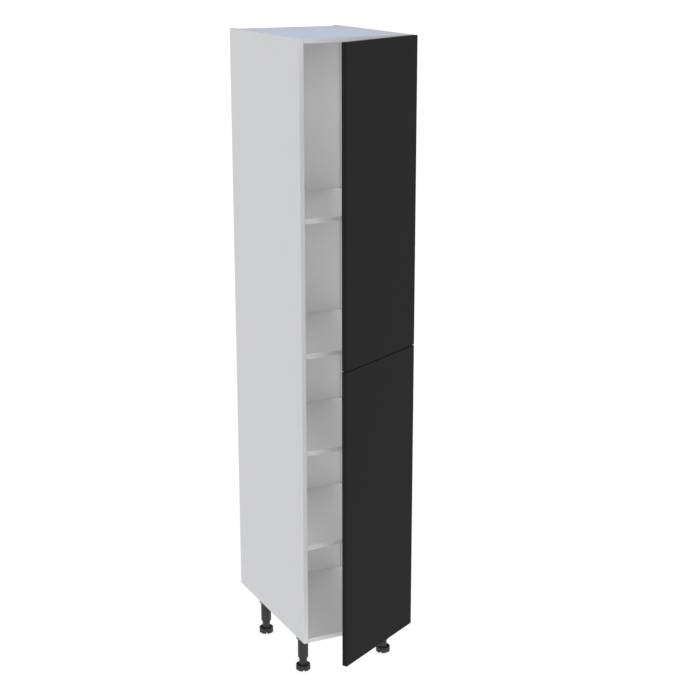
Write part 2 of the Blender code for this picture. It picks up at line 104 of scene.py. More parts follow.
# Doors; their places are given as (from the hinge edge, into the thickness)
DOOR_WIDTH = 0.397
DOOR_THICKNESS = 0.018
DOOR_EDGE_ROUND = 0.001
DOOR_AJAR = radians(29.5)
BUMPER_RADIUS = 0.0045
BUMPER_HEIGHT = 0.0015
BUMPER_EDGE_ROUND = 0.0008
BUMPER_LIFT = 0.0001
BUMPER_FROM_EDGE = 0.0080
BUMPER_FROM_END = 0.0240

# Hinge cups
INNER_CUP_PIN = (0.0110, 0.0065)
OUTER_CUP_PIN = (0.0094, 0.0020)
CUP_CENTRE = 0.0225
CUP_RADIUS = 0.0175
CUP_INNER_RADIUS = 0.0160
CUP_DEPTH = 0.0120
CUP_FLOOR = 0.0015
CUP_FLANGE_RADIUS = 0.0190
CUP_FLANGE_FACE = 0.0012
CUP_EDGE_ROUND = 0.0004
CUP_EARS_LOW = (-0.0165, -0.0300)
CUP_EARS_HIGH = (-0.0025, 0.0300)
CUP_EARS_CORNER = 0.0060
CUP_EARS_EDGE_ROUND = 0.0002
CUP_SCREW_PLACE = (-0.0095, 0.0225)
CUP_NOTCH_WIDTH = 0.006
CUP_NOTCH_HALF_HEIGHT = 0.0056
CUP_NOTCH_DEPTH = 0.0045

# Hinge links and the pins that they turn on
LINK_PIN_RADIUS = 0.0012
LINK_HALF_THICKNESS = 0.0008
EYE_RADIUS = 0.0022
EYE_HOLE_RADIUS = 0.0016
INNER_LINK_HALF_HEIGHT = 0.0026
OUTER_LINK_SPAN = (0.0031, 0.0043)
INNER_PIN_REACH = 0.0116
OUTER_PIN_SPAN = (0.0062, 0.0098)

# Hinge arms and plates, in a plan on the side panel: (from its front, over the middle, off it)
WINGS_LOW = (0.030, -0.026)
WINGS_HIGH = (0.044, 0.026)
WINGS_THICKNESS = 0.002
WINGS_CORNER = 0.0065
WINGS_EDGE_ROUND = 0.0004
WING_SCREW_PLACE = (0.0370, 0.0190)
PLATE_LOW = (0.0170, -0.0075)
PLATE_HIGH = (0.0565, 0.0075)
PLATE_THICKNESS = 0.005
PLATE_CORNER = 0.002
PLATE_EDGE_ROUND = 0.0005
ARM_TOP = 0.0140
POCKET = 0.0018
CHANNEL_LOW = (0.0080, -0.0062, 0.0045)
CHANNEL_HIGH = (0.0600, 0.0062, ARM_TOP)
CHANNEL_EDGE_ROUND = 0.0012
ARM_SCREW_DEPTHS = (0.0250, 0.0455)
ARM_SEAT_RADIUS = 0.0035
LONG_SLOT = ((0.0425, 0.0), (0.0495, 0.0), 0.0037)  # from, to, radius
END_SLOT = ((0.0585, 0.0), (0.0640, 0.0), 0.0022)
END_SLOT_FLOOR = 0.0090
NECK_ROOT = 0.0060
NECK_CORNER = 0.0130
NECK_LEVELS = (0.0045, 0.0085, 0.0120, 0.0165)
NECK_ROUND = 0.0012
NECK_EDGE_ROUND = 0.0003
CHEEK_HEEL = 0.0060
CHEEK_SPAN = (0.0047, 0.0058)
CHEEK_HALF_WIDTH = 0.0019

# Legs
FLANGE_CORNER = 0.008
FLANGE_THICKNESS = 0.005
FLANGE_EDGE_ROUND = 0.0008
FLANGE_SCREW_INSET = 0.007
COLLAR_RADIUS = 0.0232
COLLAR_DROP = 0.0262
COLLAR_EDGE_ROUND = 0.001
SOCKET_RIBS = 8
RIB_REACH = 0.0300
RIB_SUNK = 0.0020
RIB_HALF_THICKNESS = 0.001
TUBE_RADIUS = 0.0182
TUBE_BORE = 0.0157
TUBE_CHAMFER = 0.0020
TUBE_CHAMFER_HEIGHT = 0.0026
TUBE_ROOF = 0.007
TUBE_EDGE_ROUND = 0.0004
SCREW_CREST = 0.0149
SCREW_ROOT = 0.0141
SCREW_PITCH = 0.0024
NECK_WAIST = 0.0137
NECK_RADIUS = 0.0148
NECK_WAIST_HEIGHT = 0.033
NECK_RISE = 0.002
THREAD_SPAN = (0.043, 0.082)
THREAD_OVERLAP = 0.002
SHANK_EDGE_ROUND = 0.0008
FOOT_RADIUS = 0.0250
FOOT_HEIGHT = 0.0195
FOOT_ROUND = 0.0012
FOOT_RIM = 0.0033
FOOT_RING_DEPTH = 0.0088
FOOT_RING_DRAFT = 0.0004
FOOT_EDGE_ROUND = 0.0006
FOOT_NOTCHES = 6
NOTCH_HALF_WIDTH = 0.0030
NOTCH_HEIGHT = 0.0125
NOTCH_START = 0.0150
FOOT_TURNS = {"front_left": -109, "front_right": -137, "rear_left": -109, "rear_right": -92}

# Camera, floor and light; SKY_LEVELS are (height on the unit sphere, brightness)
CAMERA_PLACE = (-2.1300, -4.4337, 2.4863)
CAMERA_YAW = radians(26.282)
CAMERA_DIP = radians(15.556)
CAMERA_LENS = 77.797
FLOOR_HALF = 300.0
FLOOR_LEVELS = (-0.02, -0.0002)
FLOOR_GREY = (0.42, 0.42, 0.42)
COOL_WHITE = (1.0, 1.007, 1.030)
FLOOR_GLOW = 0.768
SKY_LEVELS = ((0.0, 1.0), (0.25, 1.0), (0.6, 0.33), (1.0, 0.71))
KEY_DIRECTION = (0.265, 0.948, -0.130)
KEY_STRENGTH = 1.51
KEY_SOFTNESS = 40
TOP_LIGHT = 1.05
TOP_LIGHT_COLOUR = (0.01, 0.34, 1.0)
TOP_LIGHT_GAP = 0.06
FILL_INSET = 0.004
FILL_LIFT = 0.001
# Fills of the compartments, from the bottom up where there is one each
LEFT_FILLS = (1.86, 2.45, 2.15, 1.75, 1.50)
RIGHT_FILL = 1.58
OPENING_FILL = 0.80
CORNER_FILL = 1.2
CORNER_FILL_WIDTH = 0.030

# Where the carcass is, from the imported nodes; the flat boards are listed from the bottom up
FLAT_BOARDS = (
    "bottom_panel", "lower_adjustable_shelf", "middle_adjustable_shelf", "fixed_shelf",
    "upper_adjustable_shelf", "top_panel",
)
ADJUSTABLE_SHELVES = ("lower", "middle", "upper")
LEFT_LOW, LEFT_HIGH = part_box("left_side_panel")
RIGHT_LOW, RIGHT_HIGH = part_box("right_side_panel")
BACK_LOW, BACK_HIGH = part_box("back_panel")
FRONT_Y = LEFT_LOW.y
HALF_WIDTH = RIGHT_HIGH.x
BOARD = RIGHT_HIGH.x - RIGHT_LOW.x
INNER_HALF_WIDTH = RIGHT_LOW.x

BODY_OF_NODE = {
    node: body
    for body, nodes in frame["record"]["behaviour"]["bodies"].items()
    for node in nodes
}
AXIS_OF_BODY = {
    joint["child"]: Vector(joint["pos_m"]) for joint in frame["joints"] if "pos_m" in joint
}


# Materials

NOISE_SPAN = (0.3, 0.7)
CHIP_SCALE = 420.0
CHIP_TONES = (
    (0.05, (0.20, 0.12, 0.06)),
    (0.35, (0.42, 0.29, 0.17)),
    (0.70, (0.58, 0.44, 0.28)),
    (1.00, (0.70, 0.57, 0.40)),
)
CHIP_ROUGHNESS = 0.85
CHIP_RELIEF = (0.0004, 0.5)


def shader_nodes(name):
    """A new material with its nodes and links."""
    made = bpy.data.materials.new(name)
    made.use_nodes = True
    return made, made.node_tree.nodes, made.node_tree.links


def noise_on(nodes, links, size, detail=2.0, stretch=(1.0, 1.0, 1.0)):
    """A noise over the object's own coordinates, with features of about this size in metres."""
    where = nodes.new("ShaderNodeTexCoord")
    scaled = nodes.new("ShaderNodeMapping")
    scaled.inputs["Scale"].default_value = stretch
    noise = nodes.new("ShaderNodeTexNoise")
    noise.inputs["Scale"].default_value = 1.0 / size
    noise.inputs["Detail"].default_value = detail
    links.new(where.outputs["Object"], scaled.inputs["Vector"])
    links.new(scaled.outputs["Vector"], noise.inputs["Vector"])
    return noise


def colour_between(nodes, links, factor, stops):
    """Colours along a ramp, from (position, colour) stops."""
    ramp = nodes.new("ShaderNodeValToRGB")
    while len(ramp.color_ramp.elements) < len(stops):
        ramp.color_ramp.elements.new(0.5)
    for element, (position, colour) in zip(ramp.color_ramp.elements, stops):
        element.position = position
        element.color = (*colour, 1.0)
    links.new(factor, ramp.inputs["Fac"])
    return ramp.outputs["Color"]


def number_between(nodes, links, factor, low, high):
    """Numbers from low to high, as a noise goes over its usual span."""
    spread = nodes.new("ShaderNodeMapRange")
    spread.inputs["From Min"].default_value = NOISE_SPAN[0]
    spread.inputs["From Max"].default_value = NOISE_SPAN[1]
    spread.inputs["To Min"].default_value = low
    spread.inputs["To Max"].default_value = high
    links.new(factor, spread.inputs["Value"])
    return spread.outputs["Result"]


def bump_from(nodes, links, height, depth, strength):
    """Normals of a fine relief, from a height, its depth in metres and its strength."""
    bump = nodes.new("ShaderNodeBump")
    bump.inputs["Distance"].default_value = depth
    bump.inputs["Strength"].default_value = strength
    links.new(height, bump.inputs["Height"])
    return bump.outputs["Normal"]


def shaded(colour, spread):
    """The colour a little darker or lighter."""
    return tuple(min(1.0, part * (1.0 + spread)) for part in colour)


def surface(name, colour, roughness, grain, spread=0.03, bump=0.2, stretch=(1, 1, 1), **sockets):
    """Material with a mottled colour, uneven gloss and a fine raised grain.

    grain is (size of the mottling, size of the fine grain, its depth), in metres.
    """
    made, nodes, links = shader_nodes(name)
    shader = nodes["Principled BSDF"]
    mottle = noise_on(nodes, links, grain[0], 3.0, stretch)
    tones = zip(NOISE_SPAN, (shaded(colour, -spread), shaded(colour, spread)))
    mottled = colour_between(nodes, links, mottle.outputs["Fac"], tuple(tones))
    links.new(mottled, shader.inputs["Base Color"])
    fine = noise_on(nodes, links, grain[1], 2.0, stretch)
    gloss = number_between(nodes, links, fine.outputs["Fac"], *roughness)
    links.new(gloss, shader.inputs["Roughness"])
    raised = bump_from(nodes, links, fine.outputs["Fac"], grain[2], bump)
    links.new(raised, shader.inputs["Normal"])
    for socket, value in sockets.items():
        shader.inputs[socket.replace("_", " ")].default_value = value
    return made


def chipboard():
    """Sawn chipboard: flat wood chips of mixed browns with small dark pores."""
    made, nodes, links = shader_nodes("chipboard_core")
    shader = nodes["Principled BSDF"]
    where = nodes.new("ShaderNodeTexCoord")
    chips = nodes.new("ShaderNodeTexVoronoi")
    chips.inputs["Scale"].default_value = CHIP_SCALE
    chips.inputs["Randomness"].default_value = 1.0
    links.new(where.outputs["Object"], chips.inputs["Vector"])
    tone_of_chip = nodes.new("ShaderNodeSeparateColor")
    links.new(chips.outputs["Color"], tone_of_chip.inputs["Color"])
    colour = colour_between(nodes, links, tone_of_chip.outputs["Red"], CHIP_TONES)
    links.new(colour, shader.inputs["Base Color"])
    shader.inputs["Roughness"].default_value = CHIP_ROUGHNESS
    raised = bump_from(nodes, links, chips.outputs["Distance"], *CHIP_RELIEF)
    links.new(raised, shader.inputs["Normal"])
    return made


MELAMINE = (0.580, 0.580, 0.580)
BANDING = (0.594, 0.596, 0.598)
# Shelf banding: the carcass's edge banding painted lighter, to lift the shade the doors cast on the
# front edges of the shelves and the bottom
SHELF_BANDING_PAINTED_LIGHT = (0.620, 0.620, 0.620)
BACK_PAPER = (0.568, 0.567, 0.565)
HARDBOARD = (0.255, 0.160, 0.088)
LACQUER = (0.0134, 0.0134, 0.0134)
NICKEL = (0.640, 0.620, 0.590)
ZINC = (0.560, 0.570, 0.590)
BLACK_PLASTIC = (0.0240, 0.0237, 0.0224)
CLEAR_RUBBER = (0.800, 0.810, 0.800)

SKINS = {
    "melamine": surface(
        "light_melamine", MELAMINE, roughness=(0.36, 0.46), grain=(0.09, 0.0011, 0.00006),
        spread=0.008,
    ),
    "banding": surface(
        "edge_banding", BANDING, roughness=(0.34, 0.42), grain=(0.02, 0.0014, 0.00005), spread=0.012
    ),
    # Lighter copy of the edge banding: painted light against the doors' shade on the shelves' and
    # the bottom's front edges
    "shelf_banding_painted_light": surface(
        "shelf_banding_painted_light", SHELF_BANDING_PAINTED_LIGHT, roughness=(0.34, 0.42), grain=(0.02, 0.0014, 0.00005),
        spread=0.012,
    ),
    "back_paper": surface(
        "back_paper", BACK_PAPER, roughness=(0.50, 0.62), grain=(0.06, 0.0009, 0.00008),
        spread=0.010,
    ),
    "hardboard": surface(
        "hardboard", HARDBOARD, roughness=(0.62, 0.80), grain=(0.004, 0.0012, 0.00015), spread=0.16,
        bump=0.4,
    ),
    "chipboard": chipboard(),
    "lacquer": surface(
        "dark_matt_lacquer", LACQUER, roughness=(0.52, 0.60), grain=(0.05, 0.0007, 0.00004),
        spread=0.02, bump=0.15, Specular_IOR_Level=0.045,
    ),
    "nickel": surface(
        "nickel_plate", NICKEL, roughness=(0.20, 0.34), grain=(0.012, 0.0016, 0.00003), spread=0.04,
        bump=0.15, stretch=(1.0, 0.25, 1.0), Metallic=1.0,
    ),
    "zinc": surface(
        "zinc_plate", ZINC, roughness=(0.26, 0.44), grain=(0.004, 0.0008, 0.00003), spread=0.08,
        bump=0.2, Metallic=1.0,
    ),
    "plastic": surface(
        "black_plastic", BLACK_PLASTIC, roughness=(0.38, 0.52), grain=(0.015, 0.0006, 0.00006),
        spread=0.06, bump=0.3, Specular_IOR_Level=0.32,
    ),
    "rubber": surface(
        "clear_bumper", CLEAR_RUBBER, roughness=(0.22, 0.32), grain=(0.003, 0.0008, 0.00002),
        spread=0.02, bump=0.1, Transmission_Weight=0.7, IOR=1.45,
    ),
}


# Shapes

# A corner's rounding takes just under half of the sides that meet there
HALF_SIDE = 1 / 2.01
MIDDLE = (0.0, 0.0, 0.0)
UP = (0.0, 0.0, 1.0)
DOWN = (0.0, 0.0, -1.0)
TO_BACK = (0.0, 1.0, 0.0)


def in_scene(name, data):
    """A new object of this mesh, light or camera."""
    obj = bpy.data.objects.new(name, data)
    bpy.context.scene.collection.objects.link(obj)
    return obj


def object_from(name, bm):
    bmesh.ops.recalc_face_normals(bm, faces=bm.faces)
    mesh = bpy.data.meshes.new(name)
    bm.to_mesh(mesh)
    bm.free()
    return in_scene(name, mesh)


def bevel_edges(bm, edges, width, steps):
    """Round these edges over."""
    bmesh.ops.bevel(bm, geom=edges, offset=width, segments=steps, profile=0.5, affect="EDGES")


def block(name, low, high, edge_round=0.0):
    """Box with its edges rounded over."""
    bm = bmesh.new()
    bmesh.ops.create_cube(bm, size=1.0)
    low, high = Vector(low), Vector(high)
    stretch = Matrix.Translation((high + low) / 2) @ Matrix.Diagonal((*(high - low), 1.0))
    bmesh.ops.transform(bm, matrix=stretch, verts=bm.verts)
    if edge_round:
        bevel_edges(bm, bm.edges[:], edge_round, EDGE_STEPS)
    return object_from(name, bm)


def eased(points, radius, steps=3, closed=False):
    """An outline with each corner rounded; the ends of an open one stay as they are."""
    eased_points = []
    for index, point in enumerate(points):
        corner = Vector(point)
        if not closed and index in (0, len(points) - 1):
            eased_points.append(corner)
            continue
        before = Vector(points[index - 1]) - corner
        after = Vector(points[(index + 1) % len(points)]) - corner
        reach = min(radius, HALF_SIDE * before.length, HALF_SIDE * after.length)
        start = corner + before.normalized() * reach
        end = corner + after.normalized() * reach
        for step in range(steps + 1):
            along = step / steps
            bend = corner * (2 * along * (1 - along))
            eased_points.append(start * (1 - along) ** 2 + bend + end * along**2)
    return eased_points


def rectangle(low, high):
    return ((low[0], low[1]), (high[0], low[1]), (high[0], high[1]), (low[0], high[1]))


def pulled(name, outline, low, high, edge_round=0.0):
    """A plan outline pulled up from one height to another, with its rims rounded over."""
    bm = bmesh.new()
    face = bm.faces.new([bm.verts.new((x, y, low)) for x, y in outline])
    raised = bmesh.ops.extrude_face_region(bm, geom=[face])["geom"]
    top = [item for item in raised if isinstance(item, bmesh.types.BMVert)]
    bmesh.ops.translate(bm, verts=top, vec=(0.0, 0.0, high - low))
    if edge_round:
        rims = [edge for edge in bm.edges if edge.verts[0].co.z == edge.verts[1].co.z]
        bevel_edges(bm, rims, edge_round, RIM_STEPS)
    return object_from(name, bm)


def plate(name, low, high, span, corner, edge_round, steps=6):
    """Flat plate with rounded corners, between two plan corners and over a span of heights."""
    outline = eased(rectangle(low, high), corner, steps, closed=True)
    return pulled(name, outline, *span, edge_round)


def turned(name, profile, sides=ROUND_SIDES):
    """A turned solid about Z, from (radius, height) points that start and end on the axis."""
    bm = bmesh.new()
    points = [bm.verts.new((radius, 0.0, height)) for radius, height in profile]
    edges = [bm.edges.new(pair) for pair in zip(points, points[1:])]
    bmesh.ops.spin(
        bm, geom=points + edges, cent=(0, 0, 0), axis=(0, 0, 1), dvec=(0, 0, 0),
        angle=2 * pi, steps=sides, use_merge=False, use_duplicate=False,
    )
    bmesh.ops.remove_doubles(bm, verts=bm.verts, dist=1e-6)
    return object_from(name, bm)


def disc(name, radius, low, high, edge_round=0.0, steps=3, sides=ROUND_SIDES):
    """Turned round disc about Z, its two rims rounded over."""
    profile = ((0.0, low), (radius, low), (radius, high), (0.0, high))
    return turned(name, eased(profile, edge_round, steps) if edge_round else profile, sides)


def rods(name, places, radius, low, high, sides=HOLE_SIDES, direction="Z"):
    """Round rods as one object, each from low to high along Z or X from its place."""
    bm = bmesh.new()
    turn = Matrix.Rotation(pi / 2, 4, "Y") if direction == "X" else Matrix.Identity(4)
    for place in places:
        middle = Vector((0.0, 0.0, (low + high) / 2))
        bmesh.ops.create_cone(
            bm, cap_ends=True, segments=sides, radius1=radius, radius2=radius, depth=high - low,
            matrix=Matrix.Translation(place) @ turn @ Matrix.Translation(middle),
        )
    return object_from(name, bm)


def capsule(start, end, radius, steps=10):
    """Outline round two plan points, with a half circle at each end."""
    ahead = (Vector(end) - Vector(start)).normalized()
    heading = Vector((1.0, 0.0)).angle_signed(ahead)
    outline = []
    for centre, outward in ((end, -heading), (start, pi - heading)):
        for step in range(steps + 1):
            angle = outward - pi / 2 + pi * step / steps
            outline.append((centre[0] + radius * cos(angle), centre[1] + radius * sin(angle)))
    return outline


def combine(base, operation, *others):
    """Boolean of the base with each other object in turn; the others are used up."""
    for other in others:
        step = base.modifiers.new("combine", "BOOLEAN")
        step.operation = operation
        step.solver = "EXACT"
        step.object = other
        graph = bpy.context.evaluated_depsgraph_get()
        result = bpy.data.meshes.new_from_object(base.evaluated_get(graph))
        base.modifiers.remove(step)
        base.data = result
        bpy.data.objects.remove(other, do_unlink=True)
    return base


def facing(place, outward):
    """Matrix that stands a shape drawn along +Z on a surface, looking outward."""
    turn = Vector(UP).rotation_difference(Vector(outward))
    return Matrix.Translation(place) @ turn.to_matrix().to_4x4()


def gathered(name, template, matrices):
    """One object of several copies of a shape, each put in place by its matrix."""
    bm = bmesh.new()
    for matrix in matrices:
        copy = template.data.copy()
        copy.transform(matrix)
        bm.from_mesh(copy)
        bpy.data.meshes.remove(copy)
    return object_from(name, bm)


def shade(obj):
    """Smooth shading that keeps sharp edges sharp and wide flat faces flat."""
    obj.data.shade_smooth()
    obj.data.set_sharp_from_angle(angle=SHARP_ANGLE)
    normals = obj.modifiers.new("normals", "WEIGHTED_NORMAL")
    normals.keep_sharp = True
    return obj


def skinned(obj, *skins):
    """The object with these skins, in this order, and no others."""
    obj.data.materials.clear()
    for skin in skins:
        obj.data.materials.append(SKINS[skin])
    return obj


def dressed(obj, skin):
    """The finished object, all of one skin."""
    return shade(skinned(obj, skin))


def used_up(*templates):
    """Remove templates that were only there to be copied."""
    for template in templates:
        bpy.data.objects.remove(template, do_unlink=True)


# Pieces and the bodies they ride on


def piece_on(obj, body):
    """A piece that rides on a body."""
    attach(obj, body)
    return obj


def stands_for(obj, node):
    """A piece that takes a CAD node's place, on the node's own body."""
    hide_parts(node)
    return piece_on(obj, BODY_OF_NODE[node])


def copy_of(template, name, matrix):
    copy = template.copy()
    copy.name = name
    copy.matrix_world = matrix
    bpy.context.scene.collection.objects.link(copy)
    return copy


# Carcass boards

# Size of a facet's normal along an axis: below the first it is edge on, above the other square on
EDGE_ON = 0.05
FACE_ON = 0.999


def facet_skin(face, skins, low, high, edge_round):
    """Skin of one facet; a rounded edge takes the skin of the finished face beside it."""
    for axis in sorted(range(3), key=lambda along: -abs(face.normal[along])):
        size = abs(face.normal[axis])
        positive = face.normal[axis] > 0
        side = high[axis] if positive else low[axis]
        if size < EDGE_ON:
            break
        if (axis, positive) in skins and abs(face.center[axis] - side) <= edge_round:
            return skins[(axis, positive)]
        if size > FACE_ON:
            break
    return "chipboard"


def board(node, skins, *cutters, edge_round=EDGE_ROUND, slot="carcass_board"):
    """A node's board, cut and dressed. skins gives (axis, positive side) a skin."""
    low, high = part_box(node)
    panel = combine(block(f"{node}_board", low, high, edge_round), "DIFFERENCE", *cutters)
    names = sorted(set(skins.values()) | {"chipboard"})
    skinned(panel, *names)
    for face in panel.data.polygons:
        face.material_index = names.index(facet_skin(face, skins, low, high, edge_round))
    return stands_for(shade(panel), node)


def back_groove(low, high):
    """Cutter for the groove that holds the back, between two corners in X and Z."""
    return block(
        "groove", (low[0], BACK_LOW.y - GAP, low[1]), (high[0], BACK_HIGH.y + GAP, high[1])
    )


def pin_hole_places(side_name):
    """Middles of the shelf pin holes on the inner face of one side."""
    face = INNER_HALF_WIDTH if side_name == "right" else -INNER_HALF_WIDTH
    places = []
    for shelf in ADJUSTABLE_SHELVES:
        for row in ("front", "rear"):
            low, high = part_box(f"shelf_pin_{shelf}_{side_name}_{row}")
            for step in range(-HOLES_EACH_WAY, HOLES_EACH_WAY + 1):
                height = (low.z + high.z) / 2 + step * HOLE_PITCH
                places.append((face, (low.y + high.y) / 2, height))
    return places


def side_boards():
    """Both sides, grooved for the back and drilled for the shelf pins."""
    hole_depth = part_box("shelf_pin_lower_right_front")[1].x + GAP - INNER_HALF_WIDTH
    skins = {
        (0, False): "melamine", (0, True): "melamine", (1, False): "banding",
        (2, False): "banding", (2, True): "banding",
    }
    groove_end = BACK_HIGH.x + GAP
    for name, side in (("left", -1), ("right", 1)):
        across = sorted((side * (INNER_HALF_WIDTH - BOARD), side * groove_end))
        groove = back_groove((across[0], LEFT_LOW.z - BOARD), (across[1], LEFT_HIGH.z + BOARD))
        holes = rods(
            "holes", pin_hole_places(name), HOLE_RADIUS, -hole_depth, hole_depth, direction="X"
        )
        board(f"{name}_side_panel", skins, groove, holes)


def cam_places(height):
    """The four places of cam fittings on a board, at a height."""
    return [
        (side * (HALF_WIDTH - CAM_FROM_SIDE), FRONT_Y + row, height)
        for side in (-1, 1)
        for row in CAM_ROWS
    ]


def cam_seats(height):
    """Cutter for the round seats of four cam fittings in a face at this height."""
    reach = CAM_THICKNESS + CAM_SUNK + GAP
    return rods("seats", cam_places(height), CAM_RADIUS + GAP, -reach, reach, SMALL_SIDES)


def cross_slot(radius, depth, width):
    """Cutter for a cross-shaped driver slot, sunk from the height zero."""
    first = block("slot", (-radius, -width / 2, -depth), (radius, width / 2, depth))
    second = block("slot", (-width / 2, -radius, -depth), (width / 2, radius, depth))
    return combine(first, "UNION", second)


def cam_fitting():
    """Round cam with a sunk ring and a cross slot, its face at the height zero."""
    cam = disc("cam", CAM_RADIUS, -CAM_THICKNESS, 0.0, CAM_EDGE_ROUND)
    ring = disc("ring", CAM_RING[1], -CAM_RING_DEPTH, CUT_PAST)
    core = disc("core", CAM_RING[0], -CUT_PAST, 2 * CUT_PAST)
    cam = combine(cam, "DIFFERENCE", combine(ring, "DIFFERENCE", core))
    return combine(cam, "DIFFERENCE", cross_slot(*CAM_SLOT))


def flat_boards():
    """Top, bottom and shelves, with the cam fittings that hold the fixed ones."""
    top_edges = {(1, False): "banding", (2, False): "melamine", (2, True): "melamine"}
    # The shelves' and the bottom's front edges take the lighter banding, painted light against the
    # doors' shade
    edges = top_edges | {(1, False): "shelf_banding_painted_light"}
    top_low, top_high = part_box("top_panel")
    bottom_low, bottom_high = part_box("bottom_panel")
    fixed_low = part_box("fixed_shelf")[0]
    groove_reach = INNER_HALF_WIDTH + BOARD
    board(
        "top_panel",
        top_edges,
        back_groove((-groove_reach, top_low.z - BOARD), (groove_reach, BACK_HIGH.z + GAP)),
        cam_seats(top_high.z),
    )
    board(
        "bottom_panel",
        edges,
        back_groove((-groove_reach, BACK_LOW.z - GAP), (groove_reach, bottom_high.z + BOARD)),
        cam_seats(bottom_low.z),
    )
    board("fixed_shelf", edges, cam_seats(fixed_low.z))
    for shelf in ADJUSTABLE_SHELVES:
        board(f"{shelf}_adjustable_shelf", edges)
    cam = cam_fitting()
    for name, height, outward in (
        ("top", top_high.z - CAM_SUNK, UP),
        ("bottom", bottom_low.z + CAM_SUNK, DOWN),
        ("fixed_shelf", fixed_low.z + CAM_SUNK, DOWN),
    ):
        places = [facing(place, outward) for place in cam_places(height)]
        cams = gathered(f"{name}_cam_fittings", cam, places)
        piece_on(dressed(cams, "zinc"), "root")
    used_up(cam)


def back_board():
    """Thin back: papered towards the inside, bare hardboard behind, screwed to the fixed shelf."""
    skins = {(1, False): "back_paper", (1, True): "hardboard"}
    board("back_panel", skins, edge_round=GAP, slot="back_board")
    shelf_low, shelf_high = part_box("fixed_shelf")
    height = (shelf_low.z + shelf_high.z) / 2
    head = screw_head(*BACK_SCREW)
    places = [
        facing((across * INNER_HALF_WIDTH, BACK_HIGH.y, height), TO_BACK)
        for across in BACK_SCREW_PLACES
    ]
    screws = gathered("back_screws", head, places)
    piece_on(dressed(screws, "zinc"), "root")
    used_up(head)


def screw_head(radius, height):
    """Low domed head with a cross slot, standing on the height zero."""
    profile = (
        (0.0, 0.0), (radius, 0.0), (radius * HEAD_SHOULDER[0], height * HEAD_SHOULDER[1]),
        (radius * HEAD_CROWN, height), (0.0, height),
    )
    slot = cross_slot(radius * HEAD_SLOT[0], height * HEAD_SLOT[1], radius * HEAD_SLOT[2])
    slot.data.transform(Matrix.Translation((0.0, 0.0, height)))
    head = turned("head", eased(profile, radius * HEAD_EDGE_ROUND), SMALL_SIDES)
    return combine(head, "DIFFERENCE", slot)


def shelf_pins():
    """Nickel pins: a stem in its hole, a collar against the side and a round-ended peg."""
    low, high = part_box("shelf_pin_lower_right_front")
    stem = INNER_HALF_WIDTH - high.x
    peg = INNER_HALF_WIDTH - low.x
    collar = GAP + PIN_COLLAR_THICKNESS
    profile = (
        (0.0, stem), (PIN_STEM_RADIUS, stem), (PIN_STEM_RADIUS, GAP), (PIN_COLLAR_RADIUS, GAP),
        (PIN_COLLAR_RADIUS, collar), (PIN_PEG_RADIUS, collar), (PIN_PEG_RADIUS, peg), (0.0, peg),
    )
    pin = dressed(turned("pin", eased(profile, PIN_EDGE_ROUND), SMALL_SIDES), "nickel")
    for shelf in ADJUSTABLE_SHELVES:
        for side_name, side in (("left", -1), ("right", 1)):
            for row in ("front", "rear"):
                node = f"shelf_pin_{shelf}_{side_name}_{row}"
                low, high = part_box(node)
                middle = (low + high) / 2
                place = facing((side * INNER_HALF_WIDTH, middle.y, middle.z), (-side, 0.0, 0.0))
                made = copy_of(pin, f"{shelf}_{side_name}_{row}_pin", place)
                stands_for(made, node)
    used_up(pin)


# Legs


def leg_rib(angle, under):
    """Gusset between the flange and the collar, standing out at an angle."""
    inside = COLLAR_RADIUS - RIB_SUNK
    foot = RIB_SUNK - COLLAR_DROP / 2
    outline = (
        (inside, OVERLAP), (RIB_REACH, OVERLAP), (RIB_REACH, -OVERLAP), (COLLAR_RADIUS, foot),
        (inside, foot),
    )
    rib = pulled("rib", outline, -RIB_HALF_THICKNESS, RIB_HALF_THICKNESS)
    rib.data.transform(Matrix.Rotation(pi / 2, 4, "X"))
    rib.data.transform(Matrix.Rotation(angle, 4, "Z"))
    rib.data.transform(Matrix.Translation((0.0, 0.0, under)))
    return rib


def leg_socket(low, high):
    """Flange with rounded corners, a ribbed collar and the bore for the tube."""
    half = (high.x - low.x) / 2
    top = high.z
    under = top - FLANGE_THICKNESS
    corners = ((-half, -half), (half, half))
    socket = plate("socket", *corners, (under, top), FLANGE_CORNER, FLANGE_EDGE_ROUND)
    collar = disc("collar", COLLAR_RADIUS, low.z, under + OVERLAP, COLLAR_EDGE_ROUND)
    socket = combine(socket, "UNION", collar)
    for step in range(SOCKET_RIBS):
        socket = combine(socket, "UNION", leg_rib(2 * pi * step / SOCKET_RIBS, under))
    bore = rods("bore", [MIDDLE], TUBE_RADIUS + GAP, low.z - CUT_PAST, under, ROUND_SIDES)
    return combine(socket, "DIFFERENCE", bore)


def leg_tube(low, high):
    """Plain tube with a chamfered lower end."""
    roof = high.z - TUBE_ROOF
    profile = (
        (0.0, high.z), (TUBE_RADIUS, high.z), (TUBE_RADIUS, low.z + TUBE_CHAMFER_HEIGHT),
        (TUBE_RADIUS - TUBE_CHAMFER, low.z), (TUBE_BORE, low.z), (TUBE_BORE, roof), (0.0, roof),
    )
    return turned("tube", eased(profile, TUBE_EDGE_ROUND, 2))


def thread(low, high, sides=SMALL_SIDES, steps=6):
    """Screw thread about Z: the radius goes from root to crest and back once for each pitch."""
    bm = bmesh.new()
    rows = round((high - low) / SCREW_PITCH * steps)
    rings = []
    for row in range(rows + 1):
        height = low + (high - low) * row / rows
        ring = []
        for side in range(sides):
            turn = side / sides
            phase = (height / SCREW_PITCH - turn) % 1.0
            radius = SCREW_ROOT + (SCREW_CREST - SCREW_ROOT) * (1 - abs(2 * phase - 1))
            angle = 2 * pi * turn
            ring.append(bm.verts.new((radius * cos(angle), radius * sin(angle), height)))
        rings.append(ring)
    for under, over in zip(rings, rings[1:]):
        for side in range(sides):
            after = (side + 1) % sides
            bm.faces.new((under[side], under[after], over[after], over[side]))
    bm.faces.new(rings[0][::-1])
    bm.faces.new(rings[-1])
    return object_from("thread", bm)


